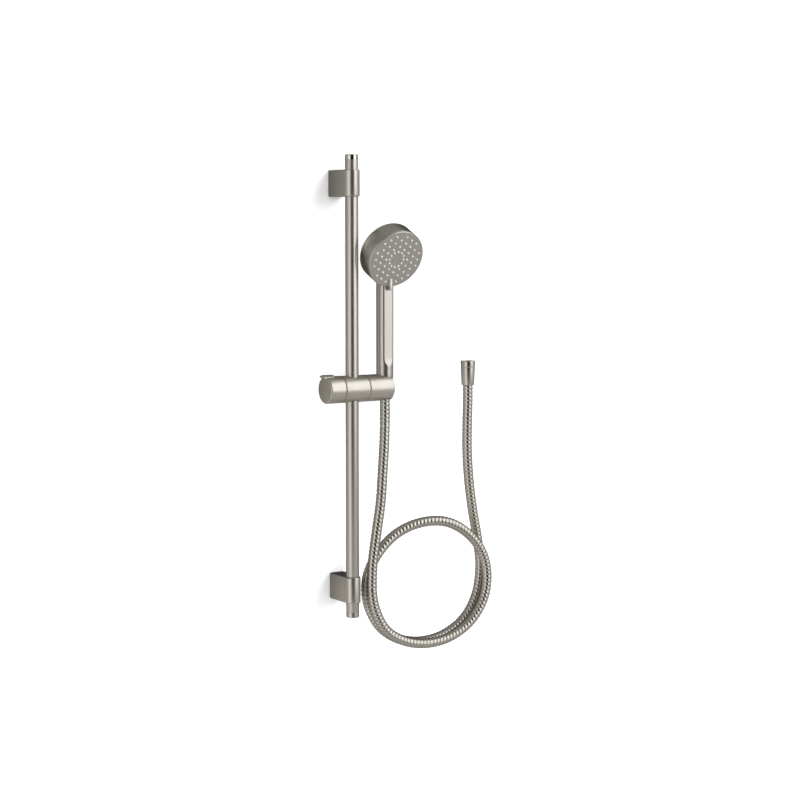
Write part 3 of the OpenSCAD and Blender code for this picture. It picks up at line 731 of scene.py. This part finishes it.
def buildBar(s):
    r, low, high, edge = barR / mm, barLow.z / mm, barHigh.z / mm, s["edge"]
    inner = r - s["wall"]
    tube = rounded([(inner, low, edge), (r, low, edge), (r, high, edge), (inner, high, edge)], s["edgeSteps"])
    finishPiece(turned("bar", tube, onBar), barNickel, "rail", "nickel_bar", "slide_bar")
    plug = inner - s["play"]
    section = [(0, -s["plug"]), (plug - s["taper"], -s["plug"])]
    for k in range(s["barbs"]):
        z = s["barbStep"] * k - s["plug"]
        section += [(plug, z + s["barbFrom"]), (plug - s["barb"], z + s["barbTo"])]
    section += [(plug - s["barb"], 0), (r - edge, 0), (r, edge), (r, s["cap"], s["capEdge"]), (0, s["cap"])]
    for name, end, flip, finish in (("top_cap", high, 1, polishedNickel), ("bottom_cap", low, -1, capNickel)):
        way = onBar @ Matrix.Translation((0, 0, end * mm)) @ Matrix.Diagonal((1, flip, flip, 1))
        finishPiece(turned(name + "_plated", rounded(section), way), finish, "rail", "polished_cap", name)


# brackets: a block with soft edges that ends in a collar, pushed over its anchor on the wall
bracket = {
    "half": 12.0, "edge": 1.5,
    "edgeSteps": 5, "sideSteps": 4, "collarSteps": 40,
    "bore": 1.1,                        # room for the liner round the bar
    "flare": 1.4, "flareDepth": 0.4,    # at the bore's mouths
    "pocket": (17.0, 33.0, 32.6),       # for the anchor: width, depth, height
    "grub": (2.0, -8.0),                # the screw's hole: radius, and place in front of the wall
    "grubSides": 32,
}


def bracketLoop(s, half, y, z):
    arc, flat = s["collarSteps"], s["sideSteps"]
    loop = [(-half, y * k / flat, z) for k in range(flat)]
    loop += [(-half * cos(pi * k / arc), y - half * sin(pi * k / arc), z) for k in range(arc + 1)]
    return loop + [(half, y * k / flat, z) for k in reversed(range(flat))]


def buildBracket(s, node):
    low, high = spanOf(node)
    middle, half = (low.z + high.z) / 2 / mm, (high.z - low.z) / 2 / mm
    y, edge, steps = barY / mm, s["edge"], range(s["edgeSteps"] + 1)
    loops = []
    for side, turns in ((-1, steps), (1, reversed(steps))):
        for k in turns:
            a = pi / 2 * k / s["edgeSteps"]
            inward, down = edge * (1 - sin(a)), edge * (1 - cos(a))
            loops.append(bracketLoop(s, s["half"] - inward, y, middle + side * (half - down)))
    block = lofted(node + "_plated", loops, Matrix.Identity(4))
    r, out, straight = barR / mm + s["bore"], half + past, half - s["flareDepth"]
    wide = r + s["flare"]
    bore = [(0, -out), (wide, -out), (r, -straight), (r, straight), (wide, out), (0, out)]
    block = combine(block, turned("bore", bore, onBar @ Matrix.Translation((0, 0, middle * mm))))
    w, d, h = s["pocket"]
    corners = [(x * w / 2, past, middle + z * h / 2) for x, z in ((-1, -1), (1, -1), (1, 1), (-1, 1))]
    pocket = lofted("pocket", [corners, [(x, -d, z) for x, y, z in corners]], Matrix.Identity(4))
    block = combine(block, pocket)
    r, y = s["grub"]
    way = Matrix.Translation((0, y * mm, middle * mm))
    block = combine(block, turned("hole", rod(r, -out, 0), way, s["grubSides"]))
    # the block takes the metal whose colour has painted shade near the wall
    finishPiece(block, castNickel, "rail", "nickel_cast", node)
    blockers.objects.link(block)


# The slider's pieces share one round. A narrower neck shows as a seam between them; x runs along the slider.
seam = {"gap": 0.5, "depth": 1.4, "lip": 0.4, "sides": 128}

glide = {
    "edge": 0.35,
    "sleeve": 2.05, "boreHalf": 30.0, "boreSides": 120,        # room for the sleeve round the bar
    "washer": 15.1, "washerDepth": 1.2, "recessSides": 64,
    "stud": 4.05, "shoe": 6.4, "shoeX": (-17.0, -9.0),         # bores of the clamp stud and its shoe
    "bolt": 3.05, "boltX": 13.0,
}


def buildGlide(s):
    low, high = spanOf("glide_body")
    x0, x1, r = low.x / mm, high.x / mm, sliderR / mm
    gap, lip, neck = seam["gap"], seam["lip"], r - seam["depth"]
    section = [(0, x0), (neck, x0), (neck, x0 + gap), (r, x0 + gap, lip),
               (r, x1 - gap, lip), (neck, x1 - gap), (neck, x1), (0, x1)]
    body = turned("glide_plated", rounded(section), onSlider, seam["sides"])
    bore = rod(barR / mm + s["sleeve"], -s["boreHalf"], s["boreHalf"])
    body = combine(body, turned("bore", bore, onSlider @ Matrix.Rotation(pi / 2, 4, "Y"), s["boreSides"]))
    w, d, stud, shoe, bolt = s["washer"], s["washerDepth"], s["stud"], s["shoe"], s["bolt"]
    start, end = s["shoeX"]
    left = [(0, x0 - past), (w, x0 - past), (w, x0 + d), (stud, x0 + d), (stud, start), (shoe, start),
            (shoe, end), (0, end)]
    right = [(0, s["boltX"]), (bolt, s["boltX"]), (bolt, x1 - d), (w, x1 - d), (w, x1 + past), (0, x1 + past)]
    for recess in (left, right):
        body = combine(body, turned("recess", recess, onSlider, s["recessSides"]))
    finishPiece(softened(body, s["edge"]), sliderNickel, "slider", "nickel_cast", "glide_body")


knob = {
    "edge": 2.2, "wall": 2.8, "capDepth": 4.0, "fillet": 1.0, "steps": 7,
    "hub": 8.5, "hubShort": 1.0, "insert": 6.05,
    "paddle": {
        "length": 21.0, "width": 13.0, "corner": 3.0, "overhang": 6.4,
        "top": 2.5,                     # above the knob's round
        "shoulder": 4.2, "fall": 1.2,   # how far in from its edge the top starts to fall, and how far
        "roundOff": ((1, 0), (0.66, 0.14), (0.33, 0.47), (0.08, 0.85), (0, 1)),      # in shares of these two
        "undercut": 0.9,
        "tip": 3.2, "root": 4.0,        # thickness at the tip, and what the overhang adds to it
        "underEdge": ((0, 0.4), (0.15, 0.15), (0.6, 0)),
    },
}


def roundedPlan(length, width, corner, steps=6):
    a, b = length / 2 - corner, width / 2 - corner
    plan = []
    for cx, cy, first in ((a, b, 0), (-a, b, 90), (-a, -b, 180), (a, -b, 270)):
        turns = [radians(first + 90 * k / steps) for k in range(steps + 1)]
        plan += [(cx + corner * cos(turn), cy + corner * sin(turn)) for turn in turns]
    return plan


def paddleOn(s, x0, r):
    plan = roundedPlan(s["length"], s["width"], s["corner"])
    tipX, cut = x0 - s["overhang"], s["undercut"]
    shift = tipX + s["length"] / 2

    def planLoop(ends, sides, height):
        kx, ky = 1 - 2 * ends / s["length"], 1 - 2 * sides / s["width"]
        return [(x * kx + shift, y * ky, height(x + shift, y * ky)) for x, y in plan]

    def crown(x, y):                                  # the top follows the knob's round
        return sqrt((r + s["top"]) ** 2 - y * y)

    def under(x, y):                                  # thin at the tip, deeper where it joins the knob
        share = min(1.0, max(0.0, (x - tipX) / s["overhang"]))
        return r + s["top"] - s["tip"] - s["root"] * share

    loops = []
    for inset, fall in s["roundOff"]:
        inset *= s["shoulder"]
        loops.append(planLoop(inset, inset, lambda x, y: crown(x, y) - s["fall"] * fall))
    loops.append(planLoop(0, cut, lambda x, y: crown(x, y) - s["fall"] - cut))
    for inset, rise in s["underEdge"]:
        loops.append(planLoop(inset, inset + cut, lambda x, y: under(x, y) + rise))
    return lofted("paddle", loops, Matrix.Translation((0, barY, sliderZ)))


def buildKnob(s):
    low, high = spanOf("lock_knob")
    x0, x1, r = low.x / mm + s["paddle"]["overhang"], high.x / mm, sliderR / mm
    gap, lip, neck = seam["gap"], seam["lip"], r - seam["depth"]
    end, depth, fillet = x0 + s["capDepth"], r - s["wall"], s["fillet"]
    hub, hubEnd, insert = s["hub"], x1 - s["hubShort"], s["insert"]
    section = [(0, x0), (r, x0, s["edge"]), (r, x1 - gap, lip), (neck, x1 - gap), (neck, x1),
               (depth, x1, lip), (depth, end, fillet), (hub, end, fillet), (hub, hubEnd),
               (insert, hubEnd), (insert, end), (0, end)]
    body = turned("knob_plated", rounded(section, s["steps"]), onSlider, seam["sides"])
    body = combine(body, paddleOn(s["paddle"], x0, r), "UNION")
    finishPiece(body, sliderNickel, "knob", "nickel_plated_plastic", "lock_knob")


holder = {
    "edge": 0.5, "endEdge": 1.2,
    "bore": 13.3, "boreHalf": 40.0, "boreSides": 128,          # the cradle that the handle drops through
    "bolt": 3.1, "head": 6.2, "seatX": 37.7, "headShort": 8.0, "boltSides": 48,
}


def buildHolder(s):
    x0, x1, r = holderLow.x / mm, holderHigh.x / mm, sliderR / mm
    gap, lip, neck = seam["gap"], seam["lip"], r - seam["depth"]
    section = [(0, x0), (neck, x0), (neck, x0 + gap), (r, x0 + gap, lip), (r, x1, s["endEdge"]), (0, x1)]
    body = turned("holder_plated", rounded(section), onSlider, seam["sides"])
    cradle = turned("cradle", rod(s["bore"], -s["boreHalf"], s["boreHalf"]), onHandset, s["boreSides"])
    body = softened(combine(body, cradle), s["edge"])
    bolt, head, seat, end = s["bolt"], s["head"], s["seatX"], armX / mm - s["headShort"]
    hole = [(0, x0 - past), (bolt, x0 - past), (bolt, seat), (head, seat), (head, end), (0, end)]
    body = combine(body, turned("bolt", hole, onSlider, s["boltSides"]))
    finishPiece(body, sliderNickel, "holder", "nickel_cast", "holder_body")


# conical hose nuts: foot at 0, plain band at the mouth, thread inside
nut = {
    "foot": 9.4, "footEdge": 1.0, "cone": 10.4, "edge": 0.3,
    "groove": (0.25, 0.4, 1.0),         # at the foot of the band: depth, height of its bottom and of its top
    "band": 10.95, "top": 11.4, "bandLength": 10.5,
    "mouth": (0.6, 0.8, 0.2),           # the chamfer's width, height and edge
    "lead": 0.5, "thread": 9.32, "threadLength": 8.0, "pitch": 1.8, "crest": 0.3, "threadDepth": 0.45,
    "relief": 9.65,
    "web": (13.0, 3.0, 6.5),            # depth, thickness, bore
    "bore": 7.9,
}
supplyNut = {**nut, "foot": 9.9, "cone": 11.0, "band": 11.3}


def buildNut(s, node, body):
    low, high = spanOf(node)
    x, y, tall = (low.x + high.x) / 2, (low.y + high.y) / 2, (high.z - low.z) / mm
    edge, cone, thread, relief = s["edge"], s["cone"], s["thread"], s["relief"]
    grooveDepth, grooveLow, grooveHigh = s["groove"]
    chamfer, chamferLength, chamferEdge = s["mouth"]
    webDepth, webThickness, webBore = s["web"]
    bandZ, threadZ, webZ = tall - s["bandLength"], tall - s["threadLength"], tall - webDepth
    section = [(s["bore"], 0, edge), (s["foot"], 0, s["footEdge"]), (cone, bandZ, edge),
               (cone - grooveDepth, bandZ + grooveLow), (s["band"], bandZ + grooveHigh, edge),
               (s["top"], tall - chamferLength, edge), (s["top"] - chamfer, tall, chamferEdge),
               (thread + s["lead"], tall)]
    z = tall - s["lead"]
    while z > threadZ + s["pitch"]:
        section += [(thread, z - s["crest"]), (thread + s["threadDepth"], z - s["pitch"] / 2)]
        z -= s["pitch"]
    section += [(thread, threadZ), (relief, threadZ), (relief, webZ), (webBore, webZ),
                (webBore, webZ - webThickness), (s["bore"], webZ - webThickness)]
    way = Matrix.Translation((x, y, low.z))
    finishPiece(turned(node + "_plated", rounded(section, 3), way), nutNickel, body, "nickel_nut", node)


# handle and drum: the handle's front has a flat whose foot sweeps out of the round
handset = {
    "handle": 13.0, "foot": 14.0, "footEdge": 0.8, "footSteps": 4, "sides": 160,
    "flat": 10.45, "flatFoot": 44.0, "sweep": 20.0,
    "blend": 1.5, "frontMost": 0.2,     # how softly the flat meets the round, and how far round it is tested
    "heights": [20, 26, 30] + [32 + 0.5 * k for k in range(25)] + [50, 80, 110, 140, 170],
    "drum": 46.0, "back": -32.0, "backEdge": 4.0, "front": -3.85, "frontEdge": 0.4, "drumSides": 144,
    "wall": 2.8, "clear": 0.4, "clearTop": 30.0,      # what the cup's cutter takes away above the drum
    "crease": 28,
}


def smoothMin(a, b, k):
    h = max(k - abs(a - b), 0.0) / k
    return min(a, b) - h * h * k / 4


def handleLoop(s, z, inset=0.0):
    below = s["flatFoot"] - z
    flat = s["flat"]
    if below > 0:
        flat += s["sweep"] - sqrt(max(s["sweep"] ** 2 - below ** 2, 0.0))
    loop = []
    for k in range(s["sides"]):
        a = 2 * pi * k / s["sides"]
        front = cos(a)                                   # a = 0 faces the room
        r = s["handle"] - inset
        if front > s["frontMost"]:
            r = smoothMin(r, flat / front, s["blend"])
        loop.append((r * sin(a), -r * cos(a), z))
    return loop


def buildShell(s):
    foot, edge, loops = s["foot"], s["footEdge"], []
    for k in range(s["footSteps"] + 1):
        a = pi / 2 * k / s["footSteps"]
        loops.append(handleLoop(s, foot + edge * (1 - cos(a)), edge * (1 - sin(a))))
    loops += [handleLoop(s, z) for z in s["heights"]]
    shell = lofted("handset_plated", loops, onHandset)
    r, back, front = s["drum"], s["back"], s["front"]
    drum = rounded([(0, back), (r, back, s["backEdge"]), (r, front, s["frontEdge"]), (0, front)], 8)
    shell = combine(shell, turned("drum", drum, onFace, s["drumSides"]), "UNION")
    inner, floor, over, top = r - s["wall"], back + s["wall"], r + s["clear"], s["clearTop"]
    cup = [(0, floor), (inner, floor), (inner, front), (over, front), (over, top), (0, top)]
    shell = combine(shell, turned("cup", cup, onFace, s["drumSides"]))
    finishPiece(shell, shellNickel, "handset", "nickel_plated_plastic", "handset_shell", crease=s["crease"])


# spray face with its thumb tab, and the silicone nozzles that stand through it
face = {
    "radius": 46.0, "rim": 1.8, "rimDepth": 3.5, "rimFoot": 0.3, "plate": 2.4, "sides": 144,
    "skirt": 42.8, "skirtWall": 1.6, "skirtDepth": 9.0,
    "ring": 12.3, "ringCount": 12,
    "pitch": 10.5, "from": 1.5, "reach": 38.5,        # the grid round the ring: from so many pitches out
    "underTab": (30, 33),                             # no nozzle here, because the tab's root is
    "hole": 2.05, "holeDepth": (4.0, 0.35), "holeSides": 20, "well": 2.3, "wellTop": 0.2,
    "tab": {
        "width": 4.2, "back": 10.85, "depth": 7.6, "foot": 146.55, "corner": 0.8,
        "root": (1.5, 1.0), "heel": (1.0, 2.4), "rise": 5.5,
        "edge": 0.3, "edgeSteps": 2, "edgeAngle": 40,
    },
    "nozzle": {
        "base": 1.65, "root": -3.4, "shoulder": -0.2, "tip": 1.2, "tipEdge": 0.35, "proud": 1.3,
        "jet": 0.5, "jetEnd": 0.4, "jetDepth": 1.2, "sides": 16,
    },
    "mat": (-4.2, -2.45), "matPlay": 0.2, "matSides": 96,
}


def nozzleSpots(s):
    turns = [2 * pi * k / s["ringCount"] for k in range(s["ringCount"])]
    spots = [(s["ring"] * cos(turn), s["ring"] * sin(turn)) for turn in turns]
    count = int(2 * s["reach"] / s["pitch"])
    low, high = s["underTab"]
    for i in range(-count, count + 1):
        for j in range(-count, count + 1):
            x, y = s["pitch"] * i * sqrt(3) / 2, s["pitch"] * j / 2
            away = sqrt(x * x + y * y)
            offTab = abs(x) > 1 or y > 0 or away < low or away > high
            if (i + j) % 2 == 0 and s["from"] * s["pitch"] < away < s["reach"] and offTab:
                spots.append((x, y))
    return spots


# a point of the handle's upright plane, as the tilted face measures it
def onSlope(front, up):
    f, u = front - (barY - faceAt.y) / mm, up - (faceAt.z - sliderZ) / mm
    return (f * sin(faceTilt) + u * cos(faceTilt), f * cos(faceTilt) - u * sin(faceTilt))


def tabOn(s, r):
    back, front, foot, corner = s["back"], s["back"] + s["depth"], s["foot"], s["corner"]
    start = (front - (barY - faceAt.y) / mm) / sin(faceTilt)      # where a plumb front edge leaves the face
    (rootBack, rootDepth), (heel, heelDepth) = s["root"], s["heel"]
    outline = rounded([(start, 0), (start - rootBack, -rootDepth), (heel - r, -heelDepth),
                       onSlope(back, foot + s["rise"]), (*onSlope(back, foot), corner),
                       (*onSlope(front, foot), corner)])
    w = s["width"] / 2
    tab = lofted("tab", [[(side, y, z) for y, z in outline] for side in (-w, w)], onFace)
    return softened(tab, s["edge"], s["edgeAngle"], s["edgeSteps"])


def buildFace(s):
    r, skirt, plateZ, skirtZ, rimZ = s["radius"], s["skirt"], -s["plate"], -s["skirtDepth"], -s["rimDepth"]
    inner = skirt - s["skirtWall"]
    section = [(0, plateZ), (inner, plateZ), (inner, skirtZ), (skirt, skirtZ), (skirt, rimZ),
               (r, rimZ, s["rimFoot"]), (r, 0, s["rim"]), (0, 0)]
    plate = turned("face_plate", rounded(section, 6), onFace, s["sides"])
    spots = nozzleSpots(s)
    print(len(spots), "nozzles")
    hole, well, (deep, neck) = s["hole"], s["well"], s["holeDepth"]
    section = [(0, -deep), (hole, -deep), (hole, -neck), (well, s["wellTop"]), (well, past), (0, past)]
    hole = turned("hole", section, Matrix.Identity(4), s["holeSides"])
    plate = combine(plate, placedAt("holes", spots, hole, onFace))
    plate = combine(plate, tabOn(s["tab"], r), "UNION")
    finishPiece(plate, facePlate, "selector", "face_plate", "spray_face")
    return spots


def spotTree():
    tree, given = newGeometryTree("shapeOnSpots", (("Shape", "Object"), ("Material", "Material")))
    shape = addNode(tree, "GeometryNodeObjectInfo", {"Object": given["Shape"]}, transform_space="ORIGINAL")
    copies = addNode(tree, "GeometryNodeInstanceOnPoints",
                     {"Points": given["Geometry"], "Instance": shape.outputs["Geometry"]})
    endTree(tree, copies.outputs[0], given["Material"])
    return tree


# one copy of the shape at each spot, then the whole set turned into place
def placedAt(name, spots, shape, matrix, material=None):
    points = meshObject(name, [(x * mm, y * mm, 0) for x, y in spots], [])
    made = applyTree(points, spotTree(), {"Shape": shape, "Material": material})
    bpy.data.objects.remove(shape)
    made.data.transform(matrix)
    return made


def buildNozzles(s, spots):
    n = s["nozzle"]
    base, root, proud, jet, jetZ = n["base"], n["root"], n["proud"], n["jet"], n["proud"] - n["jetDepth"]
    section = [(0, root), (base, root), (base, n["shoulder"]), (n["tip"], proud, n["tipEdge"]), (jet, proud),
               (n["jetEnd"], jetZ), (0, jetZ)]
    shape = turned("nozzle", rounded(section, 3), Matrix.Identity(4), n["sides"])
    nozzles = placedAt("nozzles", spots, shape, onFace, silicone)
    sheet = rod(s["skirt"] - s["skirtWall"] - s["matPlay"], *s["mat"])
    whole = combine(turned("mat", sheet, onFace, s["matSides"]), nozzles, "UNION")
    whole.name = "nozzles"
    finishPiece(whole, silicone, "selector", "nozzle_silicone", "nozzle_mat")


buildNut(supplyNut, "supply_nut", "wall_nut")          # before the hose, whose last stretch names it
buildHose(hose)
buildBar(bar)
for name in ("upper_bracket", "lower_bracket"):
    buildBracket(bracket, name)
buildGlide(glide)
buildKnob(knob)
buildHolder(holder)
buildNut(nut, "handset_nut", "handset")
buildShell(handset)
buildNozzles(face, buildFace(face))

# the nodes whose shape is right keep it and get their material
kept = {
    darkNylon: ("upper_liner", "lower_liner", "glide_sleeve", "knob_washer", "tilt_washer", "holder_liner",
                "waterway_tube", "port_plate", "diverter_disc"),
    zincAlloy: ("upper_anchor", "lower_anchor"),
    plainSteel: ("grub_screws", "tilt_bolt", "spring_washer", "clamp_stud", "pivot_screw"),
    turnedBrass: ("supply_tail", "handset_tail", "clamp_shoe", "knob_insert", "inlet_nipple"),
    rubber: ("supply_washer", "handset_washer", "flow_regulator", "port_seals"),
}
for material, names in kept.items():
    for name in names:
        nodes[name].data.materials.clear()
        nodes[name].data.materials.append(material)
print("solids that stay are finished")

json.dump({"cad": [list(v) for v in cadBounds], "visual": [list(v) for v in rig.bounds()]},
          open("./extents.json", "w"))
